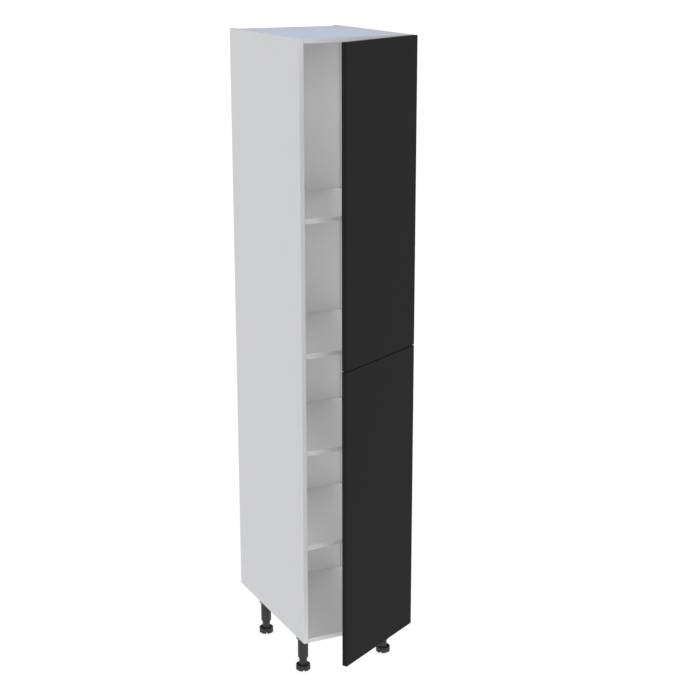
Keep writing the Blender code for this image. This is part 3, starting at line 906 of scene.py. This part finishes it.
def leg_foot(low, high):
    """Round foot: notches in its rim, a deep ring sunk round the waisted neck, and its screw."""
    ring_low = FOOT_HEIGHT - FOOT_RING_DEPTH
    rim_inside = FOOT_RADIUS - FOOT_RIM
    thread_low, thread_high = THREAD_SPAN
    profile = (
        (0.0, low.z), (FOOT_RADIUS - FOOT_ROUND, low.z), (FOOT_RADIUS, low.z + FOOT_ROUND),
        (FOOT_RADIUS, FOOT_HEIGHT - FOOT_ROUND), (FOOT_RADIUS - FOOT_ROUND, FOOT_HEIGHT),
        (rim_inside, FOOT_HEIGHT), (rim_inside - FOOT_RING_DRAFT, ring_low),
        (NECK_RADIUS, ring_low), (NECK_RADIUS, FOOT_HEIGHT + NECK_RISE),
        (NECK_WAIST, NECK_WAIST_HEIGHT), (SCREW_ROOT, thread_low + THREAD_OVERLAP),
        (0.0, thread_low + THREAD_OVERLAP),
    )
    foot = turned("foot", eased(profile, FOOT_EDGE_ROUND), WIDE_SIDES)
    notch_outline = rectangle(
        (NOTCH_START, -NOTCH_HALF_WIDTH), (FOOT_RADIUS + CUT_PAST, NOTCH_HALF_WIDTH)
    )
    for step in range(FOOT_NOTCHES):
        notch = pulled("notch", notch_outline, low.z - CUT_PAST, low.z + NOTCH_HEIGHT)
        notch.data.transform(Matrix.Rotation(2 * pi * step / FOOT_NOTCHES, 4, "Z"))
        foot = combine(foot, "DIFFERENCE", notch)
    foot = combine(foot, "UNION", thread(thread_low, thread_high))
    shank = disc("shank", SCREW_ROOT, thread_high - THREAD_OVERLAP, high.z, SHANK_EDGE_ROUND)
    return combine(foot, "UNION", shank)


def legs():
    shapes = {"socket": leg_socket, "tube": leg_tube, "foot": leg_foot}
    templates = {
        part: dressed(make(*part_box(f"front_left_leg_{part}")), "plastic")
        for part, make in shapes.items()
    }
    head = screw_head(*LEG_SCREW)
    for row in ("front", "rear"):
        for side in ("left", "right"):
            low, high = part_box(f"{row}_{side}_leg_tube")
            centre = ((low.x + high.x) / 2, (low.y + high.y) / 2, 0.0)
            for part, template in templates.items():
                node = f"{row}_{side}_leg_{part}"
                turn = FOOT_TURNS[f"{row}_{side}"] if part == "foot" else 0.0
                place = Matrix.Translation(centre) @ Matrix.Rotation(radians(turn), 4, "Z")
                made = copy_of(template, f"{row}_{side}_{part}", place)
                stands_for(made, node)
            socket_low, socket_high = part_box(f"{row}_{side}_leg_socket")
            under = socket_high.z - FLANGE_THICKNESS
            reach = (socket_high.x - socket_low.x) / 2 - FLANGE_SCREW_INSET
            places = [
                facing((centre[0] + across, centre[1] + along, under), DOWN)
                for across in (-reach, reach)
                for along in (-reach, reach)
            ]
            screws = gathered(f"{row}_{side}_leg_screws", head, places)
            piece_on(dressed(screws, "zinc"), "root")
    used_up(head, *templates.values())


# Doors and hinges


def on_door(from_edge, into_door):
    """Place on a shut door, from its inner hinge pin."""
    return (INNER_CUP_PIN[0] - from_edge, INNER_CUP_PIN[1] - into_door)


def door_frame(level):
    """Matrix from a shut door drawn round its hinge pin to the door standing ajar."""
    return Matrix.Translation(AXIS_OF_BODY[f"{level}_door"]) @ Matrix.Rotation(DOOR_AJAR, 4, "Z")


def hinge_heights(level):
    """Heights of a door's hinges over its hinge pin's reference point."""
    base = AXIS_OF_BODY[f"{level}_door"].z
    boxes = [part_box(f"{level}_hinge_arm_{number}") for number in (1, 2, 3)]
    return [(low.z + high.z) / 2 - base for low, high in boxes]


def door_slab(level):
    """A door with its cup bores: lacquered outside, bare chipboard in the bores."""
    low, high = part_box(f"{level}_door")
    base = AXIS_OF_BODY[f"{level}_door"].z
    hinge_edge, inner_face = on_door(0.0, 0.0)
    free_edge, outer_face = on_door(DOOR_WIDTH, DOOR_THICKNESS)
    slab = block(
        f"{level}_door_slab",
        (free_edge, outer_face, low.z - base),
        (hinge_edge, inner_face, high.z - base),
        DOOR_EDGE_ROUND,
    )
    cup_across = on_door(CUP_CENTRE, 0.0)[0]
    places = [(cup_across, inner_face, height) for height in hinge_heights(level)]
    reach = CUP_DEPTH + 2 * GAP
    bore = rods("bore", [MIDDLE], CUP_RADIUS + GAP, -reach, reach, ROUND_SIDES)
    bores = gathered("bores", bore, [facing(place, TO_BACK) for place in places])
    used_up(bore)
    slab = skinned(combine(slab, "DIFFERENCE", bores), "lacquer", "chipboard")
    ends = (low.z - base, high.z - base)
    for face in slab.data.polygons:
        centre = face.center
        in_board = outer_face + DOOR_EDGE_ROUND < centre.y < inner_face - DOOR_EDGE_ROUND
        from_sides = min(abs(centre.x - side) for side in (hinge_edge, free_edge))
        from_ends = min(abs(centre.z - end) for end in ends)
        inside = min(from_sides, from_ends) >= 2 * DOOR_EDGE_ROUND
        face.material_index = 1 if in_board and inside else 0
    slab.data.transform(door_frame(level))
    return stands_for(shade(slab), f"{level}_door")


def mirrored(span):
    """Height spans of a pair of pieces, one above and one below the middle."""
    return ((-span[1], -span[0]), span)


def hinge_cup():
    """Cup with its flange and ears, the notch for the links, and the link pins."""
    profile = (
        (0.0, -CUP_DEPTH), (CUP_RADIUS, -CUP_DEPTH), (CUP_RADIUS, GAP), (CUP_FLANGE_RADIUS, GAP),
        (CUP_FLANGE_RADIUS, CUP_FLANGE_FACE), (CUP_INNER_RADIUS, CUP_FLANGE_FACE),
        (CUP_INNER_RADIUS, CUP_FLOOR - CUP_DEPTH), (0.0, CUP_FLOOR - CUP_DEPTH),
    )
    cup = turned("cup", eased(profile, CUP_EDGE_ROUND, 2), WIDE_SIDES)
    span = (GAP, CUP_FLANGE_FACE)
    ears = plate("ears", CUP_EARS_LOW, CUP_EARS_HIGH, span, CUP_EARS_CORNER, CUP_EARS_EDGE_ROUND)
    reach = CUP_DEPTH / 2
    mouth = rods("mouth", [MIDDLE], CUP_INNER_RADIUS, -reach, reach, WIDE_SIDES)
    cup = combine(cup, "UNION", combine(ears, "DIFFERENCE", mouth))
    notch = block(
        "notch",
        (CUP_RADIUS - CUP_NOTCH_WIDTH, -CUP_NOTCH_HALF_HEIGHT, -CUP_NOTCH_DEPTH),
        (CUP_FLANGE_RADIUS + CUT_PAST, CUP_NOTCH_HALF_HEIGHT, 2 * CUP_FLANGE_FACE),
    )
    cup = combine(cup, "DIFFERENCE", notch)
    cup.data.transform(Matrix.Rotation(-pi / 2, 4, "X"))
    cup.data.transform(Matrix.Translation((*on_door(CUP_CENTRE, 0.0), 0.0)))
    reach = INNER_PIN_REACH
    pin = rods("pin", [MIDDLE], LINK_PIN_RADIUS, -reach, reach, ROD_SIDES)
    cup = combine(cup, "UNION", pin)
    stub_place = (*on_door(*OUTER_CUP_PIN), 0.0)
    for low, high in mirrored(OUTER_PIN_SPAN):
        stub = rods("stub", [stub_place], LINK_PIN_RADIUS, low, high, ROD_SIDES)
        cup = combine(cup, "UNION", stub)
    return cup


def cup_screws():
    """The two screws of a cup's ears, on the shut door."""
    head = screw_head(*CUP_SCREW)
    cup_across, inner_face = on_door(CUP_CENTRE, 0.0)
    across, half_height = CUP_SCREW_PLACE
    places = [
        facing((cup_across + across, inner_face + CUP_FLANGE_FACE, height), TO_BACK)
        for height in (-half_height, half_height)
    ]
    screws = gathered("cup_screws", head, places)
    used_up(head)
    return screws


# From the plan on the side panel to the cabinet's X, Y and Z
ON_SIDE = Matrix(((0, 0, -1, -BOARD - GAP), (1, 0, 0, 0), (0, -1, 0, 0), (0, 0, 0, 1)))


def hinge_plate():
    """Mounting plate with its two wings and the arm's channel, in the plan on the side."""
    span = (0.0, WINGS_THICKNESS)
    joined = plate("wings", WINGS_LOW, WINGS_HIGH, span, WINGS_CORNER, WINGS_EDGE_ROUND)
    span = (0.0, PLATE_THICKNESS)
    base = plate("plate", PLATE_LOW, PLATE_HIGH, span, PLATE_CORNER, PLATE_EDGE_ROUND, 4)
    joined = combine(joined, "UNION", base)
    channel = block("channel", CHANNEL_LOW, CHANNEL_HIGH, CHANNEL_EDGE_ROUND)
    joined = combine(joined, "UNION", channel)
    pocket = (ARM_TOP - POCKET, ARM_TOP + CUT_PAST)
    long_slot = pulled("slot", capsule(*LONG_SLOT), *pocket)
    seat_place = (ARM_SCREW_DEPTHS[0], 0.0, 0.0)
    round_seat = rods("seat", [seat_place], ARM_SEAT_RADIUS, *pocket, SMALL_SIDES)
    end_slot = pulled("slot", capsule(*END_SLOT), END_SLOT_FLOOR, pocket[1])
    return combine(joined, "DIFFERENCE", long_slot, round_seat, end_slot)


def hinge_arm(inner_pivot, outer_pivot):
    """Mounting plate and arm, drawn from the side's outer face and the carcass's front.

    inner_pivot and outer_pivot are the link axes in that frame.
    """
    joined = hinge_plate()
    joined.data.transform(ON_SIDE)
    face = -BOARD - GAP
    tip_left, tip_right = inner_pivot.x - CHEEK_HALF_WIDTH, inner_pivot.x + CHEEK_HALF_WIDTH
    tip, shoulder, root, crown = NECK_LEVELS
    neck_outline = [
        (face - NECK_ROOT, root), (face - NECK_ROOT, shoulder), (tip_right, tip), (tip_left, tip),
        (tip_left, shoulder), (face - NECK_CORNER, crown), (face - NECK_ROOT, crown),
    ]
    neck_outline = eased(neck_outline, NECK_ROUND, closed=True)
    neck = pulled("neck", neck_outline, -CHEEK_SPAN[1], CHEEK_SPAN[1], NECK_EDGE_ROUND)
    joined = combine(joined, "UNION", neck)
    heel = (inner_pivot.x, CHEEK_HEEL)
    for low, high in mirrored(CHEEK_SPAN):
        cheek = pulled("cheek", capsule(heel, inner_pivot.xy, CHEEK_HALF_WIDTH), low, high)
        joined = combine(joined, "UNION", cheek)
    reach = sum(CHEEK_SPAN) / 2
    for pivot in (inner_pivot, outer_pivot):
        pin = rods("pin", [(pivot.x, pivot.y, 0.0)], LINK_PIN_RADIUS, -reach, reach, ROD_SIDES)
        joined = combine(joined, "UNION", pin)
    return joined


def arm_screws():
    """Screws of the plate's wings and, sunk in the arm, the two that set its place."""
    head = screw_head(*WING_SCREW)
    small_head = screw_head(*ARM_SCREW)
    depth, half_height = WING_SCREW_PLACE
    wing_places = [
        ON_SIDE @ Matrix.Translation((depth, height, WINGS_THICKNESS))
        for height in (-half_height, half_height)
    ]
    arm_places = [
        ON_SIDE @ Matrix.Translation((depth, 0.0, ARM_TOP - POCKET)) for depth in ARM_SCREW_DEPTHS
    ]
    wing_screws = gathered("arm_screws", head, wing_places)
    bm = bmesh.new()
    bm.from_mesh(wing_screws.data)
    sunk_screws = gathered("sunk_screws", small_head, arm_places)
    bm.from_mesh(sunk_screws.data)
    screws = object_from("arm_screws", bm)
    used_up(head, small_head, wing_screws, sunk_screws)
    return screws


def eye(place, half_height):
    return rods("eye", [place], EYE_RADIUS, -half_height, half_height, SMALL_SIDES)


def eye_hole(place):
    return rods("hole", [place], EYE_HOLE_RADIUS, -CHEEK_SPAN[1], CHEEK_SPAN[1])


def inner_link(start, end):
    """Plate link with an eye round each of its two pins, drawn from its arm pivot."""
    reach = (end - start).xy
    outline = capsule((0.0, 0.0), reach, LINK_HALF_THICKNESS, 4)
    link = pulled("link", outline, -INNER_LINK_HALF_HEIGHT, INNER_LINK_HALF_HEIGHT)
    ends = (MIDDLE, (*reach, 0.0))
    link = combine(link, "UNION", *[eye(place, INNER_LINK_HALF_HEIGHT) for place in ends])
    return combine(link, "DIFFERENCE", *[eye_hole(place) for place in ends])


def outer_link(start, end):
    """Two side plates that pass the inner link, joined by the eye on their arm pivot."""
    reach = (end - start).xy
    link = eye(MIDDLE, OUTER_LINK_SPAN[1])
    outline = capsule((0.0, 0.0), reach, LINK_HALF_THICKNESS, 6)
    for low, high in mirrored(OUTER_LINK_SPAN):
        link = combine(link, "UNION", pulled("plate", outline, low, high))
    return combine(link, "DIFFERENCE", eye_hole(MIDDLE))


def bumpers(level):
    """Clear pads on a door's inner face, near its free edge's two corners."""
    low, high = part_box(f"{level}_door")
    base = AXIS_OF_BODY[f"{level}_door"].z
    pad = disc("pad", BUMPER_RADIUS, 0.0, BUMPER_HEIGHT, BUMPER_EDGE_ROUND, 4, SMALL_SIDES)
    across, inner_face = on_door(DOOR_WIDTH - BUMPER_FROM_EDGE, 0.0)
    heights = (low.z - base + BUMPER_FROM_END, high.z - base - BUMPER_FROM_END)
    places = [facing((across, inner_face + BUMPER_LIFT, height), TO_BACK) for height in heights]
    pads = gathered(f"{level}_door_bumpers", pad, places)
    used_up(pad)
    pads.data.transform(door_frame(level))
    return piece_on(dressed(pads, "rubber"), f"{level}_door")


def doors():
    """Both doors and their hinges; every hinge is made of copies of the same shapes."""
    carcass_corner = Vector((HALF_WIDTH, FRONT_Y, 0.0))
    inner_axis = AXIS_OF_BODY["lower_inner_links"]
    outer_axis = AXIS_OF_BODY["lower_outer_links"]
    cup_pin = door_frame("lower") @ Vector((*on_door(*OUTER_CUP_PIN), 0.0))
    arm = dressed(hinge_arm(inner_axis - carcass_corner, outer_axis - carcass_corner), "nickel")
    cup = dressed(hinge_cup(), "nickel")
    inner = dressed(inner_link(inner_axis, AXIS_OF_BODY["lower_door"]), "zinc")
    outer = dressed(outer_link(outer_axis, cup_pin), "zinc")
    plate_screws = dressed(arm_screws(), "zinc")
    ear_screws = dressed(cup_screws(), "zinc")
    for level in ("lower", "upper"):
        door_slab(level)
        bumpers(level)
        base = AXIS_OF_BODY[f"{level}_door"].z
        for number, height in enumerate(hinge_heights(level), 1):
            up = Vector((0.0, 0.0, base + height))
            at_corner = Matrix.Translation(carcass_corner + up)
            at_door = door_frame(level) @ Matrix.Translation((0.0, 0.0, height))
            at_inner = Matrix.Translation((*inner_axis.xy, up.z))
            at_outer = Matrix.Translation((*outer_axis.xy, up.z))
            tag = f"{level}_{number}"
            for kind, template, place, slot in (
                ("hinge_arm", arm, at_corner, "hinge_nickel"),
                ("hinge_cup", cup, at_door, "hinge_nickel"),
                ("inner_link", inner, at_inner, "hinge_zinc"),
                ("outer_link", outer, at_outer, "hinge_zinc"),
            ):
                made = copy_of(template, f"{kind}_{tag}", place)
                stands_for(made, f"{level}_{kind}_{number}")
            made = copy_of(plate_screws, f"hinge_arm_screws_{tag}", at_corner)
            piece_on(made, "root")
            made = copy_of(ear_screws, f"hinge_cup_screws_{tag}", at_door)
            piece_on(made, f"{level}_door")
    used_up(arm, cup, inner, outer, plate_screws, ear_screws)


# Stage, light and camera


def floor():
    """Pale floor that also glows a little, so that it stays plain and even."""
    outline = rectangle((-FLOOR_HALF, -FLOOR_HALF), (FLOOR_HALF, FLOOR_HALF))
    plane = pulled("floor", outline, *FLOOR_LEVELS)
    skin, nodes, _ = shader_nodes("floor_white")
    shader = nodes["Principled BSDF"]
    shader.inputs["Base Color"].default_value = (*FLOOR_GREY, 1.0)
    shader.inputs["Roughness"].default_value = 1.0
    shader.inputs["Specular IOR Level"].default_value = 0.0
    shader.inputs["Emission Color"].default_value = (*COOL_WHITE, 1.0)
    shader.inputs["Emission Strength"].default_value = FLOOR_GLOW
    plane.data.materials.append(skin)


def sky():
    """Soft white light all round, dimmer between the horizon and straight above."""
    world = bpy.data.worlds.new("studio")
    bpy.context.scene.world = world
    world.use_nodes = True
    nodes, links = world.node_tree.nodes, world.node_tree.links
    where = nodes.new("ShaderNodeTexCoord")
    split = nodes.new("ShaderNodeSeparateXYZ")
    links.new(where.outputs["Generated"], split.inputs["Vector"])
    stops = [(height, [level * part for part in COOL_WHITE]) for height, level in SKY_LEVELS]
    colour = colour_between(nodes, links, split.outputs["Z"], stops)
    links.new(colour, nodes["Background"].inputs["Color"])
    nodes["Background"].inputs["Strength"].default_value = 1.0


def key_softbox():
    """Even light from far away; it makes no glare on glossy faces."""
    light = bpy.data.lights.new("key_softbox", "SUN")
    light.energy = KEY_STRENGTH
    light.angle = radians(KEY_SOFTNESS)
    lamp = in_scene("key_softbox", light)
    lamp.rotation_euler = Vector(KEY_DIRECTION).to_track_quat("-Z", "Y").to_euler()
    lamp.visible_glossy = False


def area_light(name, size, brightness, place, turn=(0.0, 0.0, 0.0), colour=(1.0, 1.0, 1.0)):
    """Flat light the camera can't see; brightness is its power per square metre."""
    light = bpy.data.lights.new(name, "AREA")
    light.shape = "RECTANGLE"
    light.size, light.size_y = size
    light.energy = brightness * size[0] * size[1]
    light.color = colour
    lamp = in_scene(name, light)
    lamp.location = place
    lamp.rotation_euler = turn
    lamp.visible_camera = False


def top_softbox():
    """Cool light close above the top panel."""
    low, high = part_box("top_panel")
    place = ((low.x + high.x) / 2, (low.y + high.y) / 2, high.z + TOP_LIGHT_GAP)
    size = (high.x - low.x, high.y - low.y)
    area_light("top_softbox", size, TOP_LIGHT, place, colour=TOP_LIGHT_COLOUR)


def side_fill(side, tall, middle, brightness):
    """Wide dim light on a side's inner face, so that a compartment isn't gloomy."""
    depth = BACK_LOW.y - FRONT_Y - 2 * FILL_INSET
    place = (side * (INNER_HALF_WIDTH - FILL_LIFT), FRONT_Y + FILL_INSET + depth / 2, middle)
    area_light("compartment_fill", (tall, depth), brightness, place, (0.0, side * pi / 2, 0.0))


def opening_fill(tall, middle):
    """Light that comes in through a compartment's open front."""
    size = (2 * (INNER_HALF_WIDTH - FILL_LIFT), tall)
    place = (0.0, FRONT_Y + FILL_LIFT, middle)
    area_light("opening_fill", size, OPENING_FILL, place, (pi / 2, 0.0, 0.0))


def corner_fill(tall, middle):
    """Narrow light on the back beside the right side, for the corner between the two."""
    across = INNER_HALF_WIDTH - FILL_LIFT - CORNER_FILL_WIDTH / 2
    place = (across, BACK_LOW.y - FILL_LIFT, middle)
    area_light("corner_fill", (CORNER_FILL_WIDTH, tall), CORNER_FILL, place, (-pi / 2, 0.0, 0.0))


def compartment_fills():
    """Lights in each compartment, between the board under it and the one over it."""
    boards = [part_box(node) for node in FLAT_BOARDS]
    for under, over, left_fill in zip(boards, boards[1:], LEFT_FILLS):
        low, high = under[1].z, over[0].z
        tall, middle = high - low - 2 * FILL_LIFT, (low + high) / 2
        side_fill(-1, tall, middle, left_fill)
        side_fill(1, tall, middle, RIGHT_FILL)
        opening_fill(tall, middle)
        corner_fill(tall, middle)


def camera():
    view = bpy.data.cameras.new("camera")
    view.lens = CAMERA_LENS
    holder = in_scene("camera", view)
    holder.location = CAMERA_PLACE
    holder.rotation_euler = (pi / 2 - CAMERA_DIP, 0.0, -CAMERA_YAW)
    bpy.context.scene.camera = holder


def studio():
    floor()
    sky()
    key_softbox()
    top_softbox()
    compartment_fills()
    camera()
    bpy.context.scene.view_settings.view_transform = "Standard"


side_boards()
flat_boards()
back_board()
shelf_pins()
legs()
doors()
studio()

bpy.context.view_layer.update()
